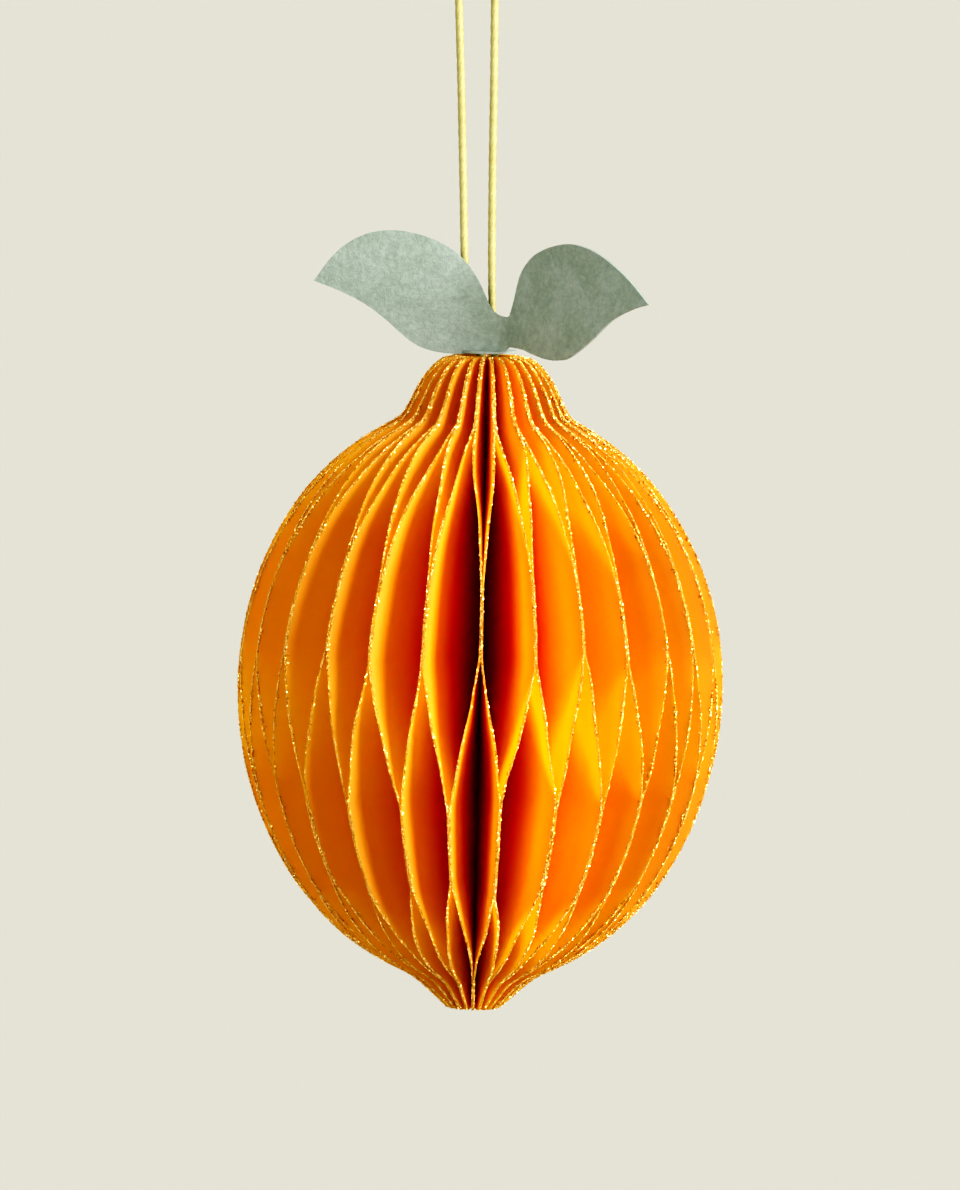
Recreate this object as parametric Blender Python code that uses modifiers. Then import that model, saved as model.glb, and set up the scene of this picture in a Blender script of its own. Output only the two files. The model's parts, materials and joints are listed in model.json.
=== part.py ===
"""Paper honeycomb ornament in the shape of a citrus fruit, hanging from a cord loop.

Fifty-six paper leaves stand round a hollow middle like the pages of a book opened all
the way round. Each leaf is glued to one neighbour at the crown and below the belly, and
to its other neighbour at the belly and the tip, which opens the honeycomb cells between.
A card sprig with two leaves sits on the crown, and a cord loop comes out through it.

Metres, +Z up, front of the ornament towards -Y. The origin is the inside top of the cord
loop, where the ornament hangs.
"""
import math

import bmesh
import bpy
from mathutils import Matrix, Vector

# The ball.
LEAF_COUNT = 56
PAPER = 0.00022           # thickness of a leaf
PAPER_GAP = 0.00010       # left between two leaves where they are glued
BALL_HEIGHT = 0.100
BALL_RADIUS = 0.037
BELLY_DEPTH = 0.0505      # widest level, below the crown
BELLY_RISE = 0.0435       # half height of the belly's upper and lower ellipse
BELLY_DROP = 0.0456
CROWN_DEPTH = 0.009       # knob at the top
CROWN_TOP_RADIUS = 0.0047
CROWN_RADIUS = 0.0123
TIP_DEPTH = 0.007         # cone at the bottom
TIP_RADIUS = 0.0040
TIP_FLARE = 1.1
CORNER_BLEND = 0.0016     # how softly the knob and the cone run into the belly
BLEND_REACH = 0.6         # share of the belly's half height past which they do
LEAF_STEPS = 20           # rows of each leaf

# Where the glued strips lie, as shares of the height down from the crown.
CROWN_GLUE_END = 0.10
BELLY_GLUE = (0.31, 0.425)
LOWER_GLUE = (0.655, 0.783)
TIP_GLUE_START = 0.955

# How it hangs.
CROWN_Z = -0.062          # top of the crown
BALL_X = 0.0030           # the ball's axis stands beside the loop's top
FOLDED_FAN = math.radians(8.0)    # each end leaf's angle when the ball is folded flat

# The cord loop, the knot that ends it and the thread along the leaves' spines.
CORD_RADIUS = 0.000675
LOOP_BEND = 0.00285       # radius of the loop's top, to the cord's middle
CORD_SPACING = 0.0027     # between points of the cord's tube
KNOT_RADIUS = 0.0021
KNOT_DEPTH = 0.0042       # middle of the knot, below the crown
THREAD_RADIUS = 0.0006
CLEARANCE = 0.0003

# The sprig.
CARD = 0.0004
WING_LENGTH = 0.0309
CREASE_X = 0.0032         # foot of the crease, from the ball's axis
CREASE_Y = -0.0036
LEFT_TURN = math.radians(15.0)    # how far each wing turns back from facing the front
RIGHT_TURN = math.radians(-48.5)
TAB_OUTER = 0.0044
TAB_HOLE = 0.0024

PITCH = 2.0 * math.pi / LEAF_COUNT
STACK_STEP = PAPER + PAPER_GAP
SPINE_RADIUS = STACK_STEP / (2.0 * math.sin(PITCH / 2.0))


# ------------------------------------------------------------------- scene and materials

def clear_scene():
    for item in list(bpy.data.objects):
        bpy.data.objects.remove(item)


def new_collection(name):
    collection = bpy.data.collections.new(name)
    bpy.context.scene.collection.children.link(collection)
    return collection


def material(name, colour, roughness, metallic=0.0):
    made = bpy.data.materials.new(name)
    made.use_nodes = True
    shader = made.node_tree.nodes["Principled BSDF"]
    shader.inputs["Base Color"].default_value = (*colour, 1.0)
    shader.inputs["Roughness"].default_value = roughness
    shader.inputs["Metallic"].default_value = metallic
    return made


def add_object(name, data, collection, finish, location=(0.0, 0.0, 0.0)):
    item = bpy.data.objects.new(name, data)
    item.location = location
    data.materials.append(finish)
    collection.objects.link(item)
    return item


def mesh_from(bm, name):
    mesh = bpy.data.meshes.new(name)
    bm.to_mesh(mesh)
    bm.free()
    return mesh


def add_solidify(item, thickness):
    shell = item.modifiers.new("card", "SOLIDIFY")
    shell.thickness = thickness
    shell.offset = 0.0


# ------------------------------------------------------------------- shape of the ball

def soft_max(a, b):
    """The larger of two radii, blended where they are nearly equal."""
    return 0.5 * (a + b + math.sqrt((a - b) ** 2 + CORNER_BLEND ** 2))


def ball_radius(depth):
    """Radius of the ball at a depth below the top of the crown."""
    half = BELLY_RISE if depth < BELLY_DEPTH else BELLY_DROP
    reach = min(abs(depth - BELLY_DEPTH) / half, 1.0)
    belly = BALL_RADIUS * math.sqrt(1.0 - reach * reach)
    if depth < BELLY_DEPTH:
        swell = math.sqrt(depth / CROWN_DEPTH)
        end = CROWN_TOP_RADIUS + (CROWN_RADIUS - CROWN_TOP_RADIUS) * min(swell, 1.0)
    else:
        end = TIP_RADIUS + TIP_FLARE * min(BALL_HEIGHT - depth, TIP_DEPTH)
    if reach < BLEND_REACH:
        return belly
    return soft_max(belly, end)


def ease(value, start, end):
    """0 before start, 1 after end and a smooth rise between them."""
    share = min(max((value - start) / (end - start), 0.0), 1.0)
    return share * share * (3.0 - 2.0 * share)


def lean_share(depth):
    """-1 where a leaf is glued to its crown neighbour, 1 where it is glued to the other."""
    level = depth / BALL_HEIGHT
    swing = ease(level, CROWN_GLUE_END, BELLY_GLUE[0])
    swing -= ease(level, BELLY_GLUE[1], LOWER_GLUE[0])
    swing += ease(level, LOWER_GLUE[1], TIP_GLUE_START)
    return 2.0 * swing - 1.0


def leaf_angle(index):
    """Angle of a leaf about the ball's axis, from the front, positive towards +X."""
    return (index + 0.5) * PITCH - math.pi


def outward(angle):
    return Vector((math.sin(angle), -math.cos(angle), 0.0))


def leaf_point(index, radius, depth):
    """A point of a leaf's middle surface, from the ball's axis and the loop's level."""
    side = 1.0 if index % 2 else -1.0
    lean = side * lean_share(depth) * (PITCH / 2.0 - math.asin(STACK_STEP / 2.0 / radius))
    return outward(leaf_angle(index) + lean) * radius + Vector((0.0, 0.0, CROWN_Z - depth))


def fold_turn(index):
    """How far a leaf turns about +Z when the open ball is folded flat to the front."""
    end_angle = leaf_angle(LEAF_COUNT - 1)
    return -leaf_angle(index) * (end_angle - FOLDED_FAN) / end_angle


def hinge_place(index):
    """The one point, from the ball's axis, about which a leaf turns from its place in the
    open ring to its place in the flat stack, where the spines lie side by side."""
    turn = Matrix.Rotation(fold_turn(index), 2)
    spine = outward(leaf_angle(index)).to_2d() * SPINE_RADIUS
    stacked = Vector(((index - (LEAF_COUNT - 1) / 2.0) * STACK_STEP, -SPINE_RADIUS))
    return (Matrix.Identity(2) - turn).inverted() @ (stacked - turn @ spine)


def add_leaf(index, collection, finish):
    """One leaf: a sheet from the spine to the ball's outline, leaning to and fro."""
    hinge = hinge_place(index).to_3d()
    bm = bmesh.new()
    rows = []
    for step in range(LEAF_STEPS + 1):
        depth = BALL_HEIGHT * 0.5 * (1.0 - math.cos(math.pi * step / LEAF_STEPS))
        radii = (SPINE_RADIUS, ball_radius(depth))
        rows.append([bm.verts.new(leaf_point(index, r, depth) - hinge) for r in radii])
    for upper, lower in zip(rows, rows[1:]):
        bm.faces.new((upper[0], upper[1], lower[1], lower[0]))
    name = f"leaf_{index + 1:02d}"
    place = hinge + Vector((BALL_X, 0.0, 0.0))
    leaf = add_object(name, mesh_from(bm, name), collection, finish, place)
    add_solidify(leaf, PAPER)


# ------------------------------------------------------------------- cord, knot, thread

def smooth_route(points, spacing):
    """Points at an even spacing on a smooth curve through the given points."""
    fine = []
    padded = [points[0] * 2.0 - points[1], *points, points[-1] * 2.0 - points[-2]]
    for before, start, end, after in zip(padded, padded[1:], padded[2:], padded[3:]):
        for step in range(24):
            t = step / 24.0
            fine.append(0.5 * (2.0 * start + (end - before) * t
                               + (2.0 * before - 5.0 * start + 4.0 * end - after) * t ** 2
                               + (3.0 * start - before - 3.0 * end + after) * t ** 3))
    fine.append(points[-1])
    lengths = [0.0]
    for start, end in zip(fine, fine[1:]):
        lengths.append(lengths[-1] + (end - start).length)
    count = round(lengths[-1] / spacing)
    route = []
    at = 0
    for step in range(count + 1):
        wanted = lengths[-1] * step / count
        while at < len(fine) - 2 and lengths[at + 1] < wanted:
            at += 1
        share = (wanted - lengths[at]) / (lengths[at + 1] - lengths[at])
        route.append(fine[at].lerp(fine[at + 1], share))
    return route


def cord_route():
    """The cord's own points: up from the knot, over the loop's top and down again."""
    knot_top = CROWN_Z - KNOT_DEPTH + KNOT_RADIUS + CLEARANCE
    left = [(BALL_X - 0.0010, knot_top), (BALL_X - 0.0011, CROWN_Z),
            (-0.0001, CROWN_Z + 0.006), (-0.0008, CROWN_Z + 0.014),
            (-0.0013, CROWN_Z + 0.026), (-0.0019, CROWN_Z + 0.040),
            (-0.0025, CROWN_Z + 0.052)]
    right = [(LOOP_BEND, CROWN_Z + 0.055), (0.0030, CROWN_Z + 0.042),
             (0.0031, CROWN_Z + 0.028), (0.0033, CROWN_Z + 0.015),
             (0.0036, CROWN_Z + 0.006), (BALL_X + 0.0011, CROWN_Z),
             (BALL_X + 0.0010, knot_top)]
    top = []
    for step in range(7):
        angle = math.pi * (1.0 - step / 6.0)
        rise = CORD_RADIUS - LOOP_BEND + LOOP_BEND * math.sin(angle)
        top.append((LOOP_BEND * math.cos(angle), rise))
    return [Vector((x, 0.0, z)) for x, z in left + top + right]


def add_cord(collection, finish):
    data = bpy.data.curves.new("hanging_cord", "CURVE")
    data.dimensions = "3D"
    data.bevel_depth = CORD_RADIUS
    data.bevel_resolution = 2
    data.resolution_u = 1
    data.use_fill_caps = True
    points = smooth_route(cord_route(), CORD_SPACING)
    spline = data.splines.new("POLY")
    spline.points.add(len(points) - 1)
    for slot, point in zip(spline.points, points):
        slot.co = (*point, 1.0)
    add_object("hanging_cord", data, collection, finish)


def add_knot(collection, finish):
    """The knot in the cord's two ends, inside the hollow under the crown."""
    bm = bmesh.new()
    bmesh.ops.create_uvsphere(bm, u_segments=16, v_segments=10, radius=KNOT_RADIUS)
    place = (BALL_X, 0.0, CROWN_Z - KNOT_DEPTH)
    knot = add_object("cord_knot", mesh_from(bm, "cord_knot"), collection, finish, place)
    knot.data.shade_smooth()


def add_thread(collection, finish):
    """The binding thread that runs down the hollow, from below the knot to the tip."""
    top = CROWN_Z - KNOT_DEPTH - KNOT_RADIUS - CLEARANCE
    bottom = CROWN_Z - BALL_HEIGHT + 0.001
    bm = bmesh.new()
    bmesh.ops.create_cone(bm, cap_ends=True, segments=12, depth=top - bottom,
                          radius1=THREAD_RADIUS, radius2=THREAD_RADIUS)
    place = (BALL_X, 0.0, 0.5 * (top + bottom))
    thread = add_object("spine_thread", mesh_from(bm, "spine_thread"), collection,
                        finish, place)
    thread.data.shade_smooth()
    thread.data.set_sharp_from_angle(angle=math.radians(40.0))


# ------------------------------------------------------------------- the sprig

# Each wing's upper and lower edge: along the wing from the crease, and up from the crown.
LEFT_TOP = ((0.0, 0.0057), (0.0021, 0.0063), (0.0034, 0.0081), (0.0048, 0.0111),
            (0.0067, 0.0137), (0.0092, 0.0159), (0.0135, 0.0177), (0.0187, 0.0184),
            (0.0235, 0.0174), (0.0277, 0.0145), (WING_LENGTH, 0.0103))
LEFT_FOOT = ((0.0, 0.0012), (0.0010, 0.0003), (0.0050, 0.0001), (0.0105, 0.0001),
             (0.0147, 0.0013), (0.0195, 0.0050), (0.0223, 0.0069), (0.0264, 0.0088),
             (WING_LENGTH, 0.0103))
RIGHT_TOP = ((0.0, 0.0060), (0.0009, 0.0079), (0.0015, 0.0101), (0.0023, 0.0123),
             (0.0037, 0.0141), (0.0060, 0.0157), (0.0102, 0.0171), (0.0146, 0.0176),
             (0.0200, 0.0165), (0.0260, 0.0133), (WING_LENGTH, 0.0095))
RIGHT_FOOT = ((0.0, 0.0013), (0.0038, 0.0011), (0.0062, 0.0006), (0.0090, 0.0001),
              (0.0117, 0.0000), (0.0148, 0.0006), (0.0196, 0.0035), (0.0238, 0.0068),
              (0.0280, 0.0087), (WING_LENGTH, 0.0095))
WING_COLUMNS = 14
WING_ROWS = 3


def edge_height(edge, along):
    """Height of a wing's edge at a distance along the wing."""
    for (x0, z0), (x1, z1) in zip(edge, edge[1:]):
        if along <= x1:
            return z0 + (z1 - z0) * (along - x0) / (x1 - x0)
    return edge[-1][1]


def wing_columns(side):
    """Columns of points of one wing, from the crease to the tip. side is -1 or 1."""
    turn = LEFT_TURN if side < 0 else RIGHT_TURN
    top_edge, foot_edge = (LEFT_TOP, LEFT_FOOT) if side < 0 else (RIGHT_TOP, RIGHT_FOOT)
    columns = []
    for step in range(WING_COLUMNS + 1):
        along = WING_LENGTH * math.sin(0.5 * math.pi * step / WING_COLUMNS)
        foot = edge_height(foot_edge, along)
        rise = edge_height(top_edge, along) - foot
        rows = 1 if step == WING_COLUMNS else WING_ROWS + 1
        column = [Vector((CREASE_X + side * along * math.cos(turn),
                          CREASE_Y + along * math.sin(turn),
                          foot + rise * row / WING_ROWS)) for row in range(rows)]
        columns.append(column)
    return columns


def add_sprig(collection, cutters, finish):
    """The card sprig: two wings joined at a crease, and a round tab on the crown."""
    bm = bmesh.new()
    crease = None
    for side in (-1, 1):
        grid = [[bm.verts.new(point) for point in column] for column in wing_columns(side)]
        if crease is not None:
            for spare in grid[0]:
                bm.verts.remove(spare)
            grid[0] = crease
        crease = grid[0]
        for near, far in zip(grid, grid[1:]):
            for row in range(WING_ROWS):
                corners = [near[row], near[row + 1]]
                corners += [far[row + 1], far[row]] if len(far) > 1 else [far[0]]
                bm.faces.new(corners[::-1] if side < 0 else corners)
    place = (BALL_X, 0.0, CROWN_Z + CLEARANCE)
    sprig = add_object("leaf_sprig", mesh_from(bm, "leaf_sprig"), collection, finish, place)
    add_solidify(sprig, CARD)

    ring = bpy.data.curves.new("sprig_tab", "CURVE")
    ring.dimensions = "2D"
    ring.fill_mode = "BOTH"
    ring.extrude = CARD / 2.0
    for radius, sides in ((TAB_OUTER, 32), (TAB_HOLE, 24)):
        spline = ring.splines.new("POLY")
        spline.points.add(sides - 1)
        for step, slot in enumerate(spline.points):
            angle = 2.0 * math.pi * step / sides
            slot.co = (radius * math.cos(angle), radius * math.sin(angle), 0.0, 1.0)
        spline.use_cyclic_u = True
    shape = bpy.data.objects.new("sprig_tab_curve", ring)
    cutters.objects.link(shape)
    bpy.context.view_layer.update()
    drawn = shape.evaluated_get(bpy.context.evaluated_depsgraph_get())
    tab_mesh = bpy.data.meshes.new_from_object(drawn)
    bpy.data.objects.remove(shape)
    bm = bmesh.new()
    bm.from_mesh(tab_mesh)
    bmesh.ops.remove_doubles(bm, verts=bm.verts, dist=0.000001)
    bm.to_mesh(tab_mesh)
    bm.free()
    tab = bpy.data.objects.new("sprig_tab", tab_mesh)
    tab.location = (BALL_X, 0.0, CROWN_Z + CLEARANCE + CARD)
    tab.hide_render = True
    tab.display_type = "WIRE"
    cutters.objects.link(tab)
    join = sprig.modifiers.new("tab", "BOOLEAN")
    join.operation = "UNION"
    join.solver = "EXACT"
    join.object = tab


def build():
    clear_scene()
    parts = new_collection("paper_honeycomb_ornament")
    helpers = new_collection("cutters")
    orange_paper = material("orange_paper", (0.90, 0.30, 0.01), 0.75)
    sage_card = material("sage_card", (0.42, 0.52, 0.42), 0.85)
    yellow_cord = material("yellow_cord", (0.86, 0.76, 0.22), 0.6)
    white_thread = material("white_thread", (0.85, 0.80, 0.70), 0.8)
    for index in range(LEAF_COUNT):
        add_leaf(index, parts, orange_paper)
    add_cord(parts, yellow_cord)
    add_knot(parts, yellow_cord)
    add_thread(parts, white_thread)
    add_sprig(parts, helpers, sage_card)


build()
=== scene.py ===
"""Looks of the paper honeycomb ornament: paper leaves with glitter along their cut edges,
a card sprig, a twisted cord loop with its knot, and the thread down the hollow.

Metres, +Z up, front towards -Y. The origin is the inside top of the cord loop.
"""
import json
import math

import bpy
import numpy as np
from mathutils import Matrix, Vector


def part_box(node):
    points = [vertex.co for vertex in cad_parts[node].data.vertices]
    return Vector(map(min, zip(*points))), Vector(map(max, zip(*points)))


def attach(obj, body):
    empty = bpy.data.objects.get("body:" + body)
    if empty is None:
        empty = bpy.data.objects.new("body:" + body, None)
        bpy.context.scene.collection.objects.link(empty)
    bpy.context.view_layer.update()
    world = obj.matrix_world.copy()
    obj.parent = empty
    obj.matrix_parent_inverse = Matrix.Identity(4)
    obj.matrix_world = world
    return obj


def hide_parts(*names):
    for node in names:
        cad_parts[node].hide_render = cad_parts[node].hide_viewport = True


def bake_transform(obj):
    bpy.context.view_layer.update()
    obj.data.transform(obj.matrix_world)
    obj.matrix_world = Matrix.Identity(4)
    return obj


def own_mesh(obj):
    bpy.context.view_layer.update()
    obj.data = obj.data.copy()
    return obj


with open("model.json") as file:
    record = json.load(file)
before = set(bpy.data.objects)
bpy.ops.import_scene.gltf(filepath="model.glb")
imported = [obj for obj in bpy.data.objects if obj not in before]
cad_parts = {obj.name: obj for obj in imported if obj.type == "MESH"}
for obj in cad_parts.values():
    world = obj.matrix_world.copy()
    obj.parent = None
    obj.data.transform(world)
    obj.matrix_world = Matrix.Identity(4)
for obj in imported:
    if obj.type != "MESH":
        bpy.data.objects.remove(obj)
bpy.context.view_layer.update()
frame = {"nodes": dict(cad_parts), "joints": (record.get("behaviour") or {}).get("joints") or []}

JOINTS = {joint["name"]: joint for joint in frame["joints"]}

# Places and sizes that the frame gives.
LEAF_COUNT = sum(name.startswith("leaf_") and name[5:].isdigit() for name in frame["nodes"])
CROWN = Vector(JOINTS["ball_turn"]["pos_m"])      # top of the crown, on the ball's axis
LEAF_BOXES = [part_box(f"leaf_{number:02d}") for number in range(1, LEAF_COUNT + 1)]
BALL_HEIGHT = CROWN.z - min(low.z for low, high in LEAF_BOXES)
BALL_RADIUS = 0.5 * (max(high.x for low, high in LEAF_BOXES)
                     - min(low.x for low, high in LEAF_BOXES))
KNOT_LOW, KNOT_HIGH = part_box("cord_knot")
THREAD_LOW, THREAD_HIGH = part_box("spine_thread")

# The ball's outline, as in the CAD.
BELLY_DEPTH = 0.0505      # widest level, below the crown
BELLY_RISE = 0.0435       # half heights of the belly's upper and lower ellipses
BELLY_DROP = 0.0456
BLEND_REACH = 0.6
CROWN_DEPTH = 0.009
CROWN_TOP_RADIUS = 0.0047
CROWN_RADIUS = 0.0123
CROWN_SWELL = 0.45
TIP_DEPTH = 0.007
TIP_RADIUS = 0.0040
TIP_FLARE = 1.1
CORNER_BLEND = 0.0016

# The paper.
PAPER = 0.00020
JOINED_HALF = 0.000115    # from a glued pair's middle to each leaf's middle
PITCH = 2.0 * math.pi / LEAF_COUNT
HOLLOW_RADIUS = 0.0023    # round the knot
CLOSE_RADIUS = 1.04 * PAPER / (2.0 * math.sin(PITCH / 2.0))    # below it
LEAF_ROWS = 120
LEAF_COLUMNS = 9
KNOT_FLOOR = 0.007        # depths between which the hollow narrows below the knot
NARROW_DEPTH = 0.013
SIZE_SPREAD = 0.003       # how much leaves differ in size, as a share
RIPPLE = 0.00022          # height of the slight waves in a sheet that stands free

# Where leaves are glued, as shares of the height, and how unevenly that was done by hand.
CROWN_GLUE_END = 0.10
BELLY_GLUE = (0.325, 0.425)
LOWER_GLUE = (0.655, 0.783)
TIP_GLUE_START = 0.955
GLUE_SPREAD = 0.016
BEND_SHARE = 0.07         # of each free stretch, where a sheet bends at its ends
ANGLE_SPREAD = math.radians(0.9)
SIDE_SKEW = math.radians(4.5)     # the cells stand wider on the left than on the right
FAN_POWER = 1.9           # how quickly the cells open below the crown

# The glitter.
GRAINS_PER_METRE = 20000
GRAIN_SIZE = 0.000068
GRAIN_SPREAD = 0.28       # how much grains differ in size
RIM_SHARE = 0.6           # of the grains lie on the cut edge, the rest on the faces
RIM_LIFT = 0.00002        # how proud of the cut edge those lie
SPILL = 0.00010           # how far in from the edge the rest lie, and at most
SPILL_END = 0.0009
NECK_LEVEL = 0.09         # the level and reach of the thick glitter at the neck
NECK_REACH = 0.035
BARE_LEVEL = 0.88         # where it thins out towards the tip, and over how much
BARE_RUN = 0.08

# The sprig.
CARD = 0.0004
CLEARANCE = 0.0003
WING_LENGTH = 0.0309
CREASE_X = 0.0032
CREASE_Y = -0.0036
LEFT_TURN = math.radians(15.0)
RIGHT_TURN = math.radians(-48.5)
TAB_OUTER = 0.0044
TAB_HOLE = 0.0024
TAB_SIDES = 48
WING_BOW = 0.0007         # how far a wing bows out of its plane
WING_WAVE = 0.00025
CREASE_REACH = 0.006      # how far from the crease a wing stays flat

# The cord.
CORD_RADIUS = 0.000675
LOOP_BEND = 0.00285
KNOT_DEPTH = 0.0042
KNOT_RADIUS = 0.0021
ROUTE_STEP = 0.00025
PLY_RADIUS = 0.00052
PLY_OFFSET = 0.00010
PLY_PITCH = 0.0060

# The knot and the thread.
KNOT_BEND = 0.00046
KNOT_STEPS = 97
KNOT_PLY_RADIUS = 0.00032
KNOT_PLY_OFFSET = 0.0003
KNOT_PITCH = 0.0042
THREAD_PLY_RADIUS = 0.0003
THREAD_PITCH = 0.0024
THREAD_STEPS = 300

# Camera and light.
CAMERA_DISTANCE = 1.10
CAMERA_RISE = math.radians(5.5)
CAMERA_ROLL = math.radians(1.3)
VIEW_HEIGHT = 0.1816      # how much of the object's height the picture holds
TARGET_SIDE = -0.00035    # middle of the picture, from the ball's axis and its crown
TARGET_DEPTH = 0.0366
STUDIO_LIGHT = (0.783, 0.768, 0.679)
KEY_STRENGTH = 8.3
KEY_SIDE = math.radians(52.0)     # from the front, towards +X
KEY_RISE = math.radians(16.0)
KEY_SOFTNESS = math.radians(32.0)
FILL_STRENGTH = 1.5
FILL_SIDE = math.radians(-32.0)
BACK_STRENGTH = 1.5
BACK_SIDE = math.radians(-165.0)
FILL_RISE = math.radians(15.0)
FILL_SOFTNESS = math.radians(30.0)
LIGHT_BOUNCES = 24        # light goes to and fro many times between the leaves
FILM_CURVE = ((0.05, 0.004), (0.10, 0.025), (0.20, 0.11), (0.35, 0.295), (0.50, 0.47),
              (0.70, 0.695))      # a camera's contrast: dark tones come out darker
FLOOR_DROP = 0.6
FLOOR_SIZE = 200.0


# ------------------------------------------------------------------- camera, light, stage

def make_camera():
    data = bpy.data.cameras.new("camera")
    data.sensor_width = 36.0
    data.lens = data.sensor_width * CAMERA_DISTANCE / VIEW_HEIGHT
    data.clip_end = 200.0
    camera = bpy.data.objects.new("camera", data)
    bpy.context.scene.collection.objects.link(camera)
    ahead = Vector((0.0, math.cos(CAMERA_RISE), -math.sin(CAMERA_RISE)))
    level_up = Vector((0.0, math.sin(CAMERA_RISE), math.cos(CAMERA_RISE)))
    level_right = Vector((1.0, 0.0, 0.0))
    right = level_right * math.cos(CAMERA_ROLL) + level_up * math.sin(CAMERA_ROLL)
    up = level_up * math.cos(CAMERA_ROLL) - level_right * math.sin(CAMERA_ROLL)
    target = CROWN + Vector((TARGET_SIDE, 0.0, -TARGET_DEPTH))
    turned = Matrix((right, up, -ahead)).transposed().to_4x4()
    camera.matrix_world = Matrix.Translation(target - ahead * CAMERA_DISTANCE) @ turned
    bpy.context.scene.camera = camera


def add_sun(name, strength, softness, side, rise):
    data = bpy.data.lights.new(name, "SUN")
    data.energy = strength
    data.angle = softness
    sun = bpy.data.objects.new(name, data)
    bpy.context.scene.collection.objects.link(sun)
    towards = Vector((math.sin(side) * math.cos(rise), -math.cos(side) * math.cos(rise),
                      math.sin(rise)))
    sun.rotation_euler = towards.to_track_quat("Z", "Y").to_euler()


def make_light():
    """An even pale studio all round, a soft key light from the right of the front, and two
    weak lights, from the left of the front and from behind."""
    world = bpy.data.worlds.new("studio")
    world.use_nodes = True
    world.node_tree.nodes["Background"].inputs["Color"].default_value = (*STUDIO_LIGHT, 1.0)
    bpy.context.scene.world = world
    add_sun("key", KEY_STRENGTH, KEY_SOFTNESS, KEY_SIDE, KEY_RISE)
    add_sun("fill", FILL_STRENGTH, FILL_SOFTNESS, FILL_SIDE, FILL_RISE)
    add_sun("back", BACK_STRENGTH, FILL_SOFTNESS, BACK_SIDE, FILL_RISE)
    scene = bpy.context.scene
    scene.view_settings.view_transform = "Standard"
    scene.view_settings.use_curve_mapping = True
    curves = scene.view_settings.curve_mapping
    for tone, shown in FILM_CURVE:
        curves.curves[3].points.new(tone, shown)
    curves.update()
    scene.cycles.max_bounces = LIGHT_BOUNCES
    scene.cycles.diffuse_bounces = LIGHT_BOUNCES
    scene.cycles.transmission_bounces = LIGHT_BOUNCES


def make_floor():
    """A pale floor, far enough below to have no shadow in view, and as light as the studio."""
    half = FLOOR_SIZE / 2.0
    z = CROWN.z - BALL_HEIGHT - FLOOR_DROP
    mesh = bpy.data.meshes.new("floor")
    corners = [(-half, -half, z), (half, -half, z), (half, half, z), (-half, half, z)]
    mesh.from_pydata(corners, [], [(0, 1, 2, 3)])
    floor = bpy.data.objects.new("floor", mesh)
    bpy.context.scene.collection.objects.link(floor)
    lamp_share = (KEY_STRENGTH * math.sin(KEY_RISE)
                  + (FILL_STRENGTH + BACK_STRENGTH) * math.sin(FILL_RISE)) / math.pi
    colour = [tone / (tone + lamp_share) for tone in STUDIO_LIGHT]
    finish = bpy.data.materials.new("floor")
    finish.use_nodes = True
    shader = finish.node_tree.nodes["Principled BSDF"]
    shader.inputs["Base Color"].default_value = (*colour, 1.0)
    shader.inputs["Roughness"].default_value = 1.0
    shader.inputs["Specular IOR Level"].default_value = 0.0
    mesh.materials.append(finish)


# ------------------------------------------------------------------- node helpers

class Nodes:
    """A material's node tree, with short ways to add and join nodes."""

    def __init__(self, name):
        self.material = bpy.data.materials.new(name)
        self.material.use_nodes = True
        self.tree = self.material.node_tree
        self.shader = self.tree.nodes["Principled BSDF"]
        self.output = self.tree.nodes["Material Output"]

    def add(self, kind, **settings):
        node = self.tree.nodes.new(kind)
        for name, value in settings.items():
            setattr(node, name, value)
        return node

    def join(self, source, target):
        self.tree.links.new(source, target)

    def coordinates(self, which):
        return self.add("ShaderNodeTexCoord").outputs[which]

    def noise(self, where, scale, detail=3.0, roughness=0.55, stretch=None):
        """A noise with so many waves a metre."""
        if stretch is not None:
            mapping = self.add("ShaderNodeMapping")
            mapping.inputs["Scale"].default_value = stretch
            self.join(where, mapping.inputs["Vector"])
            where = mapping.outputs["Vector"]
        node = self.add("ShaderNodeTexNoise")
        node.inputs["Scale"].default_value = scale
        node.inputs["Detail"].default_value = detail
        node.inputs["Roughness"].default_value = roughness
        self.join(where, node.inputs["Vector"])
        return node.outputs["Fac"]

    def ramp(self, value, *stops):
        """Colours by value; each stop is a place and a colour or a grey."""
        node = self.add("ShaderNodeValToRGB")
        elements = node.color_ramp.elements
        while len(elements) < len(stops):
            elements.new(0.5)
        for element, (place, colour) in zip(elements, stops):
            element.position = place
            element.color = (colour,) * 3 + (1.0,) if isinstance(colour, float) else (*colour, 1.0)
        self.join(value, node.inputs["Fac"])
        return node.outputs["Color"]

    def blend(self, share, first, second, how="MIX"):
        """Two colours, mixed or multiplied, by a share that is a socket or a number."""
        node = self.add("ShaderNodeMix", data_type="RGBA", blend_type=how)
        for value, socket in ((share, node.inputs[0]), (first, node.inputs[6]),
                              (second, node.inputs[7])):
            if isinstance(value, bpy.types.NodeSocket):
                self.join(value, socket)
            elif isinstance(value, tuple):
                socket.default_value = (*value, 1.0)
            else:
                socket.default_value = value
        return node.outputs[2]

    def math(self, how, *values):
        node = self.add("ShaderNodeMath", operation=how)
        for value, socket in zip(values, node.inputs):
            if isinstance(value, bpy.types.NodeSocket):
                self.join(value, socket)
            else:
                socket.default_value = value
        return node.outputs[0]

    def bump(self, height, distance, strength=1.0, under=None):
        node = self.add("ShaderNodeBump")
        node.inputs["Strength"].default_value = strength
        node.inputs["Distance"].default_value = distance
        self.join(height, node.inputs["Height"])
        if under is not None:
            self.join(under, node.inputs["Normal"])
        return node.outputs["Normal"]


# ------------------------------------------------------------------- materials

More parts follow.
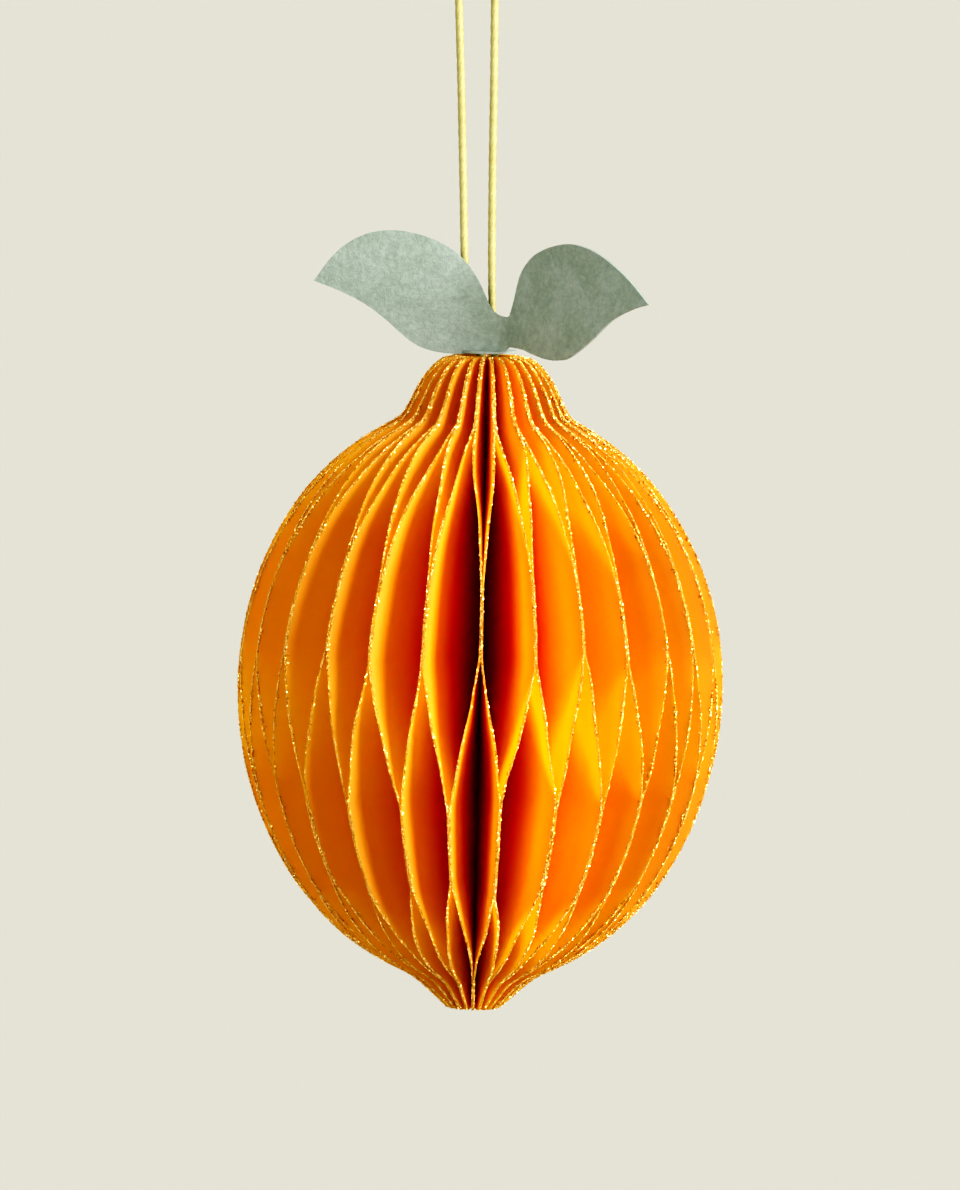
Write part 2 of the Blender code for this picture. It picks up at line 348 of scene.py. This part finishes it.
def paper_material():
    """Dyed orange paper, thin enough to let light through. There is gold dust at its cut
    edge, and painted shade makes it redder and darker towards the spine, deep in the cells."""
    made = Nodes("orange_paper")
    sheet = made.coordinates("UV")          # metres times 10: out from the spine, and down
    gap = made.add("ShaderNodeAttribute", attribute_name="edge_gap").outputs["Fac"]
    cloud = made.noise(sheet, 9.0, 4.0)
    fibre = made.noise(sheet, 420.0, 5.0, 0.65, (1.0, 0.45, 1.0))
    depth = made.math("MULTIPLY", gap, 50.0)          # 1 at 20 mm in from the edge
    # painted shade: the paper's colour goes redder and darker with depth into the cell, towards the
    # spine
    tone = made.ramp(depth, (0.03, (0.92, 0.55, 0.13)), (0.28, (0.96, 0.65, 0.085)),
                     (0.56, (0.975, 0.655, 0.08)), (0.90, (0.985, 0.49, 0.055)))
    tone = made.blend(0.6, tone, made.ramp(cloud, (0.3, (0.99, 0.93, 0.85)), (0.7, 1.0)),
                      "MULTIPLY")
    tone = made.blend(0.35, tone, made.ramp(fibre, (0.3, (0.98, 0.86, 0.8)), (0.7, 1.0)),
                      "MULTIPLY")
    speck = made.noise(sheet, 900.0, 2.0)
    reach = made.math("DIVIDE", gap, 0.0006)
    dust = made.math("GREATER_THAN", made.math("SUBTRACT", speck, 0.34), reach)
    colour = made.blend(dust, tone, made.ramp(speck, (0.45, (0.60, 0.32, 0.05)),
                                              (0.60, (0.85, 0.60, 0.20))))
    made.join(colour, made.shader.inputs["Base Color"])
    made.shader.inputs["Roughness"].default_value = 0.82
    made.shader.inputs["Specular IOR Level"].default_value = 0.08
    relief = made.bump(fibre, 0.00004)
    made.join(relief, made.shader.inputs["Normal"])
    glow = made.add("ShaderNodeBsdfTranslucent")
    made.join(made.blend(1.0, colour, (1.0, 1.33, 0.7), "MULTIPLY"), glow.inputs["Color"])
    mixed = made.add("ShaderNodeMixShader")
    mixed.inputs["Fac"].default_value = 0.64
    made.join(made.shader.outputs["BSDF"], mixed.inputs[1])
    made.join(glow.outputs["BSDF"], mixed.inputs[2])
    made.join(mixed.outputs["Shader"], made.output.inputs["Surface"])
    return made.material


def glitter_material():
    """Gold grains, each a little lighter, darker, duller or brighter than the next."""
    made = Nodes("gold_glitter")
    grain = made.add("ShaderNodeNewGeometry").outputs["Random Per Island"]
    colour = made.ramp(grain, (0.0, (0.40, 0.20, 0.03)), (0.45, (0.76, 0.46, 0.12)),
                       (0.85, (0.96, 0.73, 0.34)), (1.0, (1.0, 0.88, 0.56)))
    made.join(colour, made.shader.inputs["Base Color"])
    made.shader.inputs["Metallic"].default_value = 1.0
    rough = made.ramp(made.math("FRACT", made.math("MULTIPLY", grain, 7.0)),
                      (0.0, 0.32), (1.0, 0.60))
    made.join(rough, made.shader.inputs["Roughness"])
    return made.material


def card_material():
    """Sage handmade card: soft mottling, fine creases darkened with painted shade, short fibres and
    a napped surface.
    """
    made = Nodes("sage_card")
    place = made.coordinates("Object")
    cloud = made.noise(place, 180.0, 4.0, 0.6)
    fleck = made.noise(place, 1100.0, 4.0, 0.7)
    fibre = made.noise(place, 1500.0, 3.0, 0.6, (0.35, 1.0, 1.6))
    ridge = made.math("ABSOLUTE", made.math("SUBTRACT", made.noise(place, 520.0, 6.0, 0.7), 0.5))
    tone = made.ramp(cloud, (0.30, (0.284, 0.336, 0.284)), (0.70, (0.352, 0.398, 0.360)))
    tone = made.blend(0.7, tone, made.ramp(fleck, (0.32, 0.74), (0.68, 1.0)), "MULTIPLY")
    tone = made.blend(0.35, tone, made.ramp(fibre, (0.35, 0.85), (0.60, 1.0)), "MULTIPLY")
    # painted shade: the card is darker along its fine creases
    tone = made.blend(0.3, tone, made.ramp(ridge, (0.0, 0.72), (0.06, 1.0)), "MULTIPLY")
    made.join(tone, made.shader.inputs["Base Color"])
    made.shader.inputs["Roughness"].default_value = 0.92
    made.shader.inputs["Specular IOR Level"].default_value = 0.2
    made.shader.inputs["Sheen Weight"].default_value = 0.12
    made.shader.inputs["Sheen Roughness"].default_value = 0.5
    relief = made.bump(cloud, 0.00016, 0.6)
    relief = made.bump(fleck, 0.00006, 1.0, relief)
    relief = made.bump(made.ramp(ridge, (0.0, 0.0), (0.08, 1.0)), 0.00003, 1.0, relief)
    made.join(relief, made.shader.inputs["Normal"])
    glow = made.add("ShaderNodeBsdfTranslucent")
    made.join(made.blend(1.0, tone, (0.45, 1.28, 1.12), "MULTIPLY"), glow.inputs["Color"])
    mixed = made.add("ShaderNodeMixShader")
    mixed.inputs["Fac"].default_value = 0.18
    made.join(made.shader.outputs["BSDF"], mixed.inputs[1])
    made.join(glow.outputs["BSDF"], mixed.inputs[2])
    made.join(mixed.outputs["Shader"], made.output.inputs["Surface"])
    return made.material


def cord_material():
    """Waxed yellow cotton: fine strands along the ply, and paler where it is rubbed."""
    made = Nodes("yellow_cord")
    strand = made.coordinates("UV")         # u round the ply, v along it, in ply widths
    thread = made.noise(strand, 3.0, 3.0, 0.6, (9.0, 0.7, 1.0))
    cloud = made.noise(made.coordinates("Object"), 260.0, 3.0)
    tone = made.ramp(thread, (0.30, (0.265, 0.235, 0.078)), (0.66, (0.355, 0.325, 0.15)))
    tone = made.blend(0.4, tone, made.ramp(cloud, (0.35, (0.82, 0.76, 0.5)), (0.6, 1.0)),
                      "MULTIPLY")
    made.join(tone, made.shader.inputs["Base Color"])
    made.shader.inputs["Roughness"].default_value = 0.5
    made.shader.inputs["Sheen Weight"].default_value = 0.15
    made.join(made.bump(thread, 0.00005), made.shader.inputs["Normal"])
    return made.material


def thread_material():
    """Pale cotton, in fine strands along the ply."""
    made = Nodes("white_thread")
    strand = made.coordinates("UV")
    thread = made.noise(strand, 3.0, 3.0, 0.6, (8.0, 0.8, 1.0))
    tone = made.ramp(thread, (0.3, (0.55, 0.49, 0.40)), (0.65, (0.80, 0.75, 0.65)))
    made.join(tone, made.shader.inputs["Base Color"])
    made.shader.inputs["Roughness"].default_value = 0.8
    made.join(made.bump(thread, 0.00004), made.shader.inputs["Normal"])
    return made.material


# ------------------------------------------------------------------- mesh helpers

def add_mesh(name, points, faces, finish, smooth=True):
    mesh = bpy.data.meshes.new(name)
    mesh.from_pydata(points, [], faces)
    mesh.materials.append(finish)
    if smooth:
        mesh.shade_smooth()
    item = bpy.data.objects.new(name, mesh)
    bpy.context.scene.collection.objects.link(item)
    return item


def set_uv(item, values):
    """Gives each corner of a mesh the UV of its point."""
    layer = item.data.uv_layers.new(name="UVMap")
    corners = np.zeros(len(item.data.loops), np.int32)
    item.data.loops.foreach_get("vertex_index", corners)
    layer.data.foreach_set("uv", np.asarray(values, np.float32)[corners].ravel())


def unit(vectors):
    return vectors / np.linalg.norm(vectors, axis=-1, keepdims=True)


def sheet_normals(grid):
    """Normals of a grid of points, rows by columns."""
    return unit(np.cross(np.gradient(grid, axis=1), np.gradient(grid, axis=0)))


def add_sheet(name, grid, thickness, finish):
    """A closed thin sheet round a grid of points. Returns it, its points being the front's
    and then the back's, each row by row."""
    rows, columns, _ = grid.shape
    normals = sheet_normals(grid) * thickness / 2.0
    points = np.concatenate([(grid + normals).reshape(-1, 3), (grid - normals).reshape(-1, 3)])
    numbers = np.arange(rows * columns).reshape(rows, columns)
    front = np.stack([numbers[:-1, :-1], numbers[:-1, 1:], numbers[1:, 1:], numbers[1:, :-1]],
                     axis=-1).reshape(-1, 4)
    back = front[:, ::-1] + rows * columns
    border = np.concatenate([numbers[0, :-1], numbers[:-1, -1], numbers[-1, :0:-1],
                             numbers[:0:-1, 0]])
    after = np.roll(border, -1)
    shift = rows * columns
    rim = np.stack([after, border, border + shift, after + shift], axis=-1)
    faces = np.concatenate([front, back, rim])
    item = add_mesh(name, points.tolist(), faces.tolist(), finish)
    item.data.set_sharp_from_angle(angle=math.radians(50.0))
    return item


def ease(value, start, end):
    share = min(max((value - start) / (end - start), 0.0), 1.0)
    return share * share * (3.0 - 2.0 * share)


# ------------------------------------------------------------------- shape of the ball

def ball_radius(depth):
    """Radius of the ball at a depth below the top of the crown."""
    half = BELLY_RISE if depth < BELLY_DEPTH else BELLY_DROP
    reach = min(abs(depth - BELLY_DEPTH) / half, 1.0)
    belly = BALL_RADIUS * math.sqrt(1.0 - reach * reach)
    if depth < BELLY_DEPTH:
        swell = (depth / CROWN_DEPTH) ** CROWN_SWELL
        end = CROWN_TOP_RADIUS + (CROWN_RADIUS - CROWN_TOP_RADIUS) * min(swell, 1.0)
    else:
        end = TIP_RADIUS + TIP_FLARE * min(BALL_HEIGHT - depth, TIP_DEPTH)
    if reach < BLEND_REACH:
        return belly
    return 0.5 * (belly + end + math.sqrt((belly - end) ** 2 + CORNER_BLEND ** 2))


def leaf_angle(index):
    return (index + 0.5) * PITCH - math.pi


def skewed(angle):
    """The same angle with the cells a little wider on the left and narrower on the right."""
    return angle - SIDE_SKEW * (1.0 - math.cos(angle))


def make_pairs(luck, count):
    """How far each glued pair strays: its angle, and the ends of its glue strips."""
    return [{"angle": luck.uniform(-1.0, 1.0) * ANGLE_SPREAD,
             "ends": luck.uniform(-1.0, 1.0, 3) * GLUE_SPREAD} for _ in range(count)]


def straight(share):
    """A straight run from 0 to 1, rounded where the sheets leave and meet."""
    near = min(share, 1.0 - share)
    if near < BEND_SHARE:
        part = near * near / (2.0 * BEND_SHARE)
    else:
        part = near - BEND_SHARE / 2.0
    part /= 1.0 - BEND_SHARE
    return part if share < 0.5 else 1.0 - part


def crossing(level, upper_pair, belly_pair):
    """0 where a leaf lies against its crown neighbour, 1 where against the other."""
    crown_end = CROWN_GLUE_END + 0.4 * upper_pair["ends"][0]
    belly_start = BELLY_GLUE[0] + belly_pair["ends"][0]
    belly_end = BELLY_GLUE[1] + belly_pair["ends"][1]
    lower_start = LOWER_GLUE[0] + upper_pair["ends"][1]
    lower_end = LOWER_GLUE[1] + upper_pair["ends"][2]
    tip_start = TIP_GLUE_START + 0.3 * belly_pair["ends"][2]
    if level <= crown_end:
        return 0.0
    if level < belly_start:
        return 1.0 - (1.0 - (level - crown_end) / (belly_start - crown_end)) ** FAN_POWER
    if level <= belly_end:
        return 1.0
    if level < lower_start:
        share = (level - belly_end) / (lower_start - belly_end)
        return 1.0 - straight(share)
    if level <= lower_end:
        return 0.0
    if level < tip_start:
        share = (level - lower_end) / (tip_start - lower_end)
        return straight(share)
    return 1.0


def leaf_grid(index, pairs, luck):
    """Points of a leaf's middle surface, rows down the leaf, columns out from the spine."""
    side = 1.0 if index % 2 else -1.0
    upper_pair = pairs[0][index // 2]
    belly_pair = pairs[1][(index + 1) // 2 % len(pairs[1])]
    upper_angle = skewed(leaf_angle(index) - side * PITCH / 2.0) + upper_pair["angle"]
    belly_angle = skewed(leaf_angle(index) + side * PITCH / 2.0) + belly_pair["angle"]
    phases = luck.uniform(0.0, 2.0 * math.pi, 4)
    size = 1.0 + luck.uniform(-1.0, 1.0) * SIZE_SPREAD
    grid = np.zeros((LEAF_ROWS + 1, LEAF_COLUMNS + 1, 3))
    for row in range(LEAF_ROWS + 1):
        share = row / LEAF_ROWS
        level = 0.5 * share + 0.25 * (1.0 - math.cos(math.pi * share))
        depth = level * BALL_HEIGHT
        swing = crossing(level, upper_pair, belly_pair)
        free = 4.0 * swing * (1.0 - swing)
        edge = ball_radius(depth) * size
        spine = HOLLOW_RADIUS + (CLOSE_RADIUS - HOLLOW_RADIUS) * ease(
            depth, KNOT_FLOOR, NARROW_DEPTH)
        for column in range(LEAF_COLUMNS + 1):
            out = 1.0 - (1.0 - column / LEAF_COLUMNS) ** 1.25
            radius = spine + (edge - spine) * out
            apart = math.asin(min(JOINED_HALF / radius, math.sin(PITCH / 2.0)))
            angle = (upper_angle + side * apart) * (1.0 - swing)
            angle += (belly_angle - side * apart) * swing
            wave = math.sin(level * 21.0 + phases[0]) * math.sin(out * 4.0 + phases[1])
            wave += 0.5 * math.sin(level * 47.0 + phases[2] + out * 3.0)
            angle += RIPPLE * out * free * wave / radius
            grid[row, column] = (math.sin(angle) * radius, -math.cos(angle) * radius, -depth)
    return grid + np.array(CROWN)


def glitter_patches(level, angle, luck):
    """How thick the glitter lies at each level of a leaf: it comes in patches, with most of
    it round the neck of the crown, and more there on the right."""
    patch = np.zeros(len(level))
    for waves in (3.0, 7.0, 17.0):
        patch += np.sin(2.0 * math.pi * (waves * level + luck.uniform())) / 3.0
    neck = np.exp(-((level - NECK_LEVEL) / NECK_REACH) ** 2)
    tip = np.clip((level - BARE_LEVEL) / BARE_RUN, 0.0, 1.0)
    crown = np.exp(-(level / 0.05) ** 2)
    patch = (1.0 + 0.85 * patch) ** 2 * (1.0 - 0.75 * tip) * (1.0 - 0.4 * crown)
    return patch + neck * (1.0 + 2.8 * max(math.sin(angle), 0.0) ** 2)


def add_glitter(name, grid, angle, finish, luck):
    """Grains of glitter stuck to a leaf's cut edge and spilling onto both its faces."""
    edge = grid[:, -1]
    steps = np.linalg.norm(np.diff(edge, axis=0), axis=1)
    along = np.concatenate([[0.0], np.cumsum(steps)])
    level = (CROWN.z - edge[:, 2]) / BALL_HEIGHT
    density = glitter_patches(level, angle, luck)
    weight = np.concatenate([[0.0], np.cumsum(steps * 0.5 * (density[1:] + density[:-1]))])
    count = int(GRAINS_PER_METRE * weight[-1])
    place = np.interp(luck.uniform(0.0, weight[-1], count), weight, along)
    normals = sheet_normals(grid)[:, -1]
    outward = unit(edge - grid[:, -2])
    frames = [np.stack([np.interp(place, along, values[:, axis]) for axis in range(3)], axis=1)
              for values in (edge, normals, outward)]
    on_rim = luck.uniform(size=count) < RIM_SHARE
    face = np.where(luck.uniform(size=count) < 0.5, -1.0, 1.0)
    thick = np.sqrt(np.interp(place, along, density))
    inward = np.minimum(luck.exponential(SPILL, count) * thick, SPILL_END)
    sideways = np.where(on_rim, luck.uniform(-0.5, 0.5, count) * PAPER, face * PAPER * 0.55)
    reach = np.where(on_rim, RIM_LIFT, -inward)
    middle = frames[0] + frames[1] * sideways[:, None] + frames[2] * reach[:, None]
    corners = np.array([(1.0, 1.0, 1.0), (1.0, -1.0, -1.0), (-1.0, 1.0, -1.0), (-1.0, -1.0, 1.0)])
    axes = unit(luck.normal(size=(count, 4)))
    w, x, y, z = axes.T
    turn = np.stack([1 - 2 * (y * y + z * z), 2 * (x * y - z * w), 2 * (x * z + y * w),
                     2 * (x * y + z * w), 1 - 2 * (x * x + z * z), 2 * (y * z - x * w),
                     2 * (x * z - y * w), 2 * (y * z + x * w), 1 - 2 * (x * x + y * y)],
                    axis=1).reshape(count, 3, 3)
    grain = GRAIN_SIZE * np.exp(luck.normal(0.0, GRAIN_SPREAD, count))
    points = np.einsum("nij,kj->nki", turn, corners) * grain[:, None, None] + middle[:, None]
    first = np.arange(count)[:, None, None] * 4
    faces = first + np.array([(0, 1, 2), (0, 3, 1), (0, 2, 3), (1, 3, 2)])[None]
    return add_mesh(name, points.reshape(-1, 3).tolist(), faces.reshape(-1, 3).tolist(),
                    finish, smooth=False)


def add_leaves():
    luck = np.random.RandomState(11)
    pairs = [make_pairs(luck, LEAF_COUNT // 2), make_pairs(luck, LEAF_COUNT // 2)]
    paper = paper_material()
    gold = glitter_material()
    for index in range(LEAF_COUNT):
        node = f"leaf_{index + 1:02d}"
        grid = leaf_grid(index, pairs, luck)
        leaf = add_sheet(f"{node}_paper", grid, PAPER, paper)
        radii = np.linalg.norm(grid[..., :2] - np.array(CROWN)[:2], axis=-1)
        sheet_uv = np.stack([radii * 10.0 + index, (CROWN.z - grid[..., 2]) * 10.0], axis=-1)
        set_uv(leaf, np.tile(sheet_uv.reshape(-1, 2), (2, 1)))
        gap = np.linalg.norm(grid[:, -1:] - grid, axis=-1)
        mark = leaf.data.attributes.new("edge_gap", "FLOAT", "POINT")
        mark.data.foreach_set("value", np.tile(gap.ravel(), 2).astype(np.float32))
        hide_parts(node)
        glitter = add_glitter(f"{node}_glitter", grid, leaf_angle(index), gold, luck)
        for piece in (leaf, glitter):
            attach(piece, node)
            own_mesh(piece)


# ------------------------------------------------------------------- the sprig

# A wing's upper and lower edge: along the wing from the crease, and up from the crown.
LEFT_TOP = ((0.0, 0.0057), (0.0021, 0.0063), (0.0034, 0.0081), (0.0048, 0.0111),
            (0.0067, 0.0137), (0.0092, 0.0159), (0.0135, 0.0177), (0.0187, 0.0184),
            (0.0235, 0.0174), (0.0277, 0.0145), (WING_LENGTH, 0.0103))
LEFT_FOOT = ((0.0, 0.0012), (0.0010, 0.0003), (0.0050, 0.0001), (0.0105, 0.0001),
             (0.0147, 0.0013), (0.0195, 0.0050), (0.0223, 0.0069), (0.0264, 0.0088),
             (WING_LENGTH, 0.0103))
RIGHT_TOP = ((0.0, 0.0060), (0.0009, 0.0079), (0.0015, 0.0101), (0.0023, 0.0123),
             (0.0037, 0.0141), (0.0060, 0.0157), (0.0102, 0.0171), (0.0146, 0.0176),
             (0.0200, 0.0165), (0.0260, 0.0133), (WING_LENGTH, 0.0095))
RIGHT_FOOT = ((0.0, 0.0013), (0.0038, 0.0011), (0.0062, 0.0006), (0.0090, 0.0001),
              (0.0117, 0.0000), (0.0148, 0.0006), (0.0196, 0.0035), (0.0238, 0.0068),
              (0.0280, 0.0087), (WING_LENGTH, 0.0095))
WING_COLUMNS = 90
WING_ROWS = 26
TIP_WIDTH = 0.00012


def edge_height(edge, along):
    """Height of a wing's edge at a distance along the wing, on a smooth curve."""
    x = [point[0] for point in edge]
    z = [point[1] for point in edge]
    at = max(number for number in range(len(x) - 1) if along >= x[number] or number == 0)
    width = x[at + 1] - x[at]
    t = (along - x[at]) / width

    def slope(number):
        before, after = max(number - 1, 0), min(number + 1, len(x) - 1)
        return (z[after] - z[before]) / (x[after] - x[before])

    return ((2 * t ** 3 - 3 * t ** 2 + 1) * z[at] + (t ** 3 - 2 * t ** 2 + t) * width * slope(at)
            + (3 * t ** 2 - 2 * t ** 3) * z[at + 1] + (t ** 3 - t ** 2) * width * slope(at + 1))


def wing_grid(side):
    """Points of one wing, columns from the crease to the tip. side is -1 or 1."""
    turn = LEFT_TURN if side < 0 else RIGHT_TURN
    top_edge, foot_edge = (LEFT_TOP, LEFT_FOOT) if side < 0 else (RIGHT_TOP, RIGHT_FOOT)
    grid = np.zeros((WING_ROWS + 1, WING_COLUMNS + 1, 3))
    for column in range(WING_COLUMNS + 1):
        along = WING_LENGTH * math.sin(0.5 * math.pi * column / WING_COLUMNS)
        foot = edge_height(foot_edge, along)
        rise = max(edge_height(top_edge, along) - foot, TIP_WIDTH)
        settle = ease(along, 0.0, CREASE_REACH)
        for row in range(WING_ROWS + 1):
            up = foot + rise * row / WING_ROWS
            bow = WING_BOW * settle * math.sin(along / WING_LENGTH * math.pi)
            bow += WING_WAVE * settle * math.sin(up * 260.0 + side)
            grid[row, column] = (CREASE_X + side * (along * math.cos(turn) + bow * math.sin(turn)),
                                 CREASE_Y + along * math.sin(turn) - bow * math.cos(turn), up)
    return grid


def add_sprig():
    card = card_material()
    left, right = wing_grid(-1), wing_grid(1)
    grid = np.concatenate([left[:, :0:-1], right], axis=1)
    place = np.array(CROWN) + (0.0, 0.0, CLEARANCE)
    wings = add_sheet("sprig_card", grid + place, CARD, card)
    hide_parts("leaf_sprig")
    sides = TAB_SIDES
    turns = np.linspace(0.0, 2.0 * math.pi, sides, endpoint=False)
    rings = []
    for radius, lift in ((TAB_HOLE, -0.5), (TAB_OUTER, -0.5), (TAB_OUTER, 0.5), (TAB_HOLE, 0.5)):
        rings.append(np.stack([radius * np.cos(turns), radius * np.sin(turns),
                               np.full(sides, CLEARANCE + CARD + lift * CARD)], axis=1))
    points = np.concatenate(rings) + np.array(CROWN)
    faces = []
    for ring in range(4):
        for step in range(sides):
            after = (step + 1) % sides
            low, high = ring * sides, (ring + 1) % 4 * sides
            faces.append((low + step, high + step, high + after, low + after))
    tab = add_mesh("sprig_tab", points.tolist(), faces, card)
    tab.data.set_sharp_from_angle(angle=math.radians(40.0))
    for piece in (wings, tab):
        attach(piece, "sprig")


# ------------------------------------------------------------------- cord, knot, thread

def smooth_route(points, spacing):
    """Points at an even spacing on a smooth curve through the given points."""
    fine = []
    padded = [points[0] * 2.0 - points[1], *points, points[-1] * 2.0 - points[-2]]
    for before, start, end, after in zip(padded, padded[1:], padded[2:], padded[3:]):
        for step in range(24):
            t = step / 24.0
            fine.append(0.5 * (2.0 * start + (end - before) * t
                               + (2.0 * before - 5.0 * start + 4.0 * end - after) * t ** 2
                               + (3.0 * start - before - 3.0 * end + after) * t ** 3))
    fine.append(points[-1])
    fine = np.array(fine)
    lengths = np.concatenate([[0.0], np.cumsum(np.linalg.norm(np.diff(fine, axis=0), axis=1))])
    wanted = np.linspace(0.0, lengths[-1], round(lengths[-1] / spacing) + 1)
    return np.stack([np.interp(wanted, lengths, fine[:, axis]) for axis in range(3)], axis=1)


def cord_route():
    """The cord's own points, as in the CAD: up from the knot, over the top and down again."""
    knot_top = CROWN.z - KNOT_DEPTH + KNOT_RADIUS + CLEARANCE
    left = [(CROWN.x - 0.0010, knot_top), (CROWN.x - 0.0011, CROWN.z),
            (-0.0001, CROWN.z + 0.006), (-0.0008, CROWN.z + 0.014),
            (-0.0013, CROWN.z + 0.026), (-0.0019, CROWN.z + 0.040),
            (-0.0025, CROWN.z + 0.052)]
    right = [(LOOP_BEND, CROWN.z + 0.055), (0.0030, CROWN.z + 0.042),
             (0.0031, CROWN.z + 0.028), (0.0033, CROWN.z + 0.015),
             (0.0036, CROWN.z + 0.006), (CROWN.x + 0.0011, CROWN.z),
             (CROWN.x + 0.0010, knot_top)]
    top = []
    for step in range(7):
        angle = math.pi * (1.0 - step / 6.0)
        rise = CORD_RADIUS - LOOP_BEND + LOOP_BEND * math.sin(angle)
        top.append((LOOP_BEND * math.cos(angle), rise))
    return [Vector((x, 0.0, z)) for x, z in left + top + right]


def add_tubes(name, lines, radius, sides, finish):
    """One mesh of round tubes along several lines of points, their ends rounded off."""
    points, faces, uvs = [], [], []
    turns = np.linspace(0.0, 2.0 * math.pi, sides, endpoint=False)
    for line in lines:
        first = len(points)
        ahead = unit(np.gradient(line, axis=0))
        across = np.cross(ahead[0], (0.0, 1.0, 0.0))
        if np.linalg.norm(across) < 0.1:
            across = np.cross(ahead[0], (1.0, 0.0, 0.0))
        lengths = np.concatenate([[0.0], np.cumsum(np.linalg.norm(np.diff(line, axis=0), axis=1))])
        for at, (middle, along, run) in enumerate(zip(line, ahead, lengths)):
            across = unit(across - along * (across @ along))
            beside = np.cross(along, across)
            for side, turn in enumerate(turns):
                points.append(middle + (across * math.cos(turn) + beside * math.sin(turn)) * radius)
                uvs.append((side / sides, run / radius * 0.5))
            if at > 0:
                for side in range(sides):
                    low, high = first + (at - 1) * sides, first + at * sides
                    after = (side + 1) % sides
                    faces.append((low + side, low + after, high + after, high + side))
        last = len(points) - sides
        for ring, middle, way in ((first, line[0], -ahead[0]), (last, line[-1], ahead[-1])):
            points.append(middle + way * radius * 0.6)
            uvs.append((0.5, 0.0))
            for side in range(sides):
                pair = (ring + side, ring + (side + 1) % sides)
                faces.append((len(points) - 1, *(pair[::-1] if ring == first else pair)))
    item = add_mesh(name, [tuple(point) for point in points], faces, finish)
    set_uv(item, uvs)
    return item


def twisted(line, plies, offset, pitch):
    """The plies that lie round a line, each turning once about it in a pitch."""
    ahead = unit(np.gradient(line, axis=0))
    across = np.cross(ahead[0], (0.0, 1.0, 0.0))
    steps = np.linalg.norm(np.diff(line, axis=0), axis=1)
    run = np.concatenate([[0.0], np.cumsum(steps)])
    lines = [[] for _ in range(plies)]
    for middle, along, length in zip(line, ahead, run):
        across = unit(across - along * (across @ along))
        beside = np.cross(along, across)
        for ply in range(plies):
            turn = 2.0 * math.pi * (ply / plies + length / pitch)
            lines[ply].append(middle + offset * (across * math.cos(turn)
                                                 + beside * math.sin(turn)))
    return [np.array(line) for line in lines]


def add_cord(finish):
    route = smooth_route(cord_route(), ROUTE_STEP)
    plies = twisted(route, 3, PLY_OFFSET, PLY_PITCH)
    cord = add_tubes("cord_loop", plies, PLY_RADIUS, 14, finish)
    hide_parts("hanging_cord")
    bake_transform(cord)


def add_knot(finish):
    """An overhand knot in the cord's two ends."""
    middle = 0.5 * (KNOT_LOW + KNOT_HIGH)
    turns = np.linspace(0.0, 2.0 * math.pi, KNOT_STEPS)
    line = np.stack([np.sin(turns) + 2.0 * np.sin(2.0 * turns),
                     np.cos(turns) - 2.0 * np.cos(2.0 * turns),
                     -1.6 * np.sin(3.0 * turns)], axis=1) * KNOT_BEND
    plies = twisted(line + np.array(middle), 3, KNOT_PLY_OFFSET, KNOT_PITCH)
    knot = add_tubes("knot_turns", plies, KNOT_PLY_RADIUS, 10, finish)
    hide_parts("cord_knot")
    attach(knot, "core")


def add_thread(finish):
    """The binding thread, two plies twisted together, down the hollow."""
    x, y = 0.5 * (THREAD_LOW.x + THREAD_HIGH.x), 0.5 * (THREAD_LOW.y + THREAD_HIGH.y)
    steps = np.linspace(THREAD_HIGH.z, THREAD_LOW.z, THREAD_STEPS)
    line = np.stack([np.full(THREAD_STEPS, x), np.full(THREAD_STEPS, y), steps], axis=1)
    plies = twisted(line, 2, THREAD_PLY_RADIUS, THREAD_PITCH)
    thread = add_tubes("binding_thread", plies, THREAD_PLY_RADIUS, 10, finish)
    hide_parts("spine_thread")
    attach(thread, "core")


# ------------------------------------------------------------------- the whole

make_camera()
yellow = cord_material()
add_cord(yellow)
add_knot(yellow)
add_thread(thread_material())
add_leaves()
add_sprig()
make_light()
make_floor()
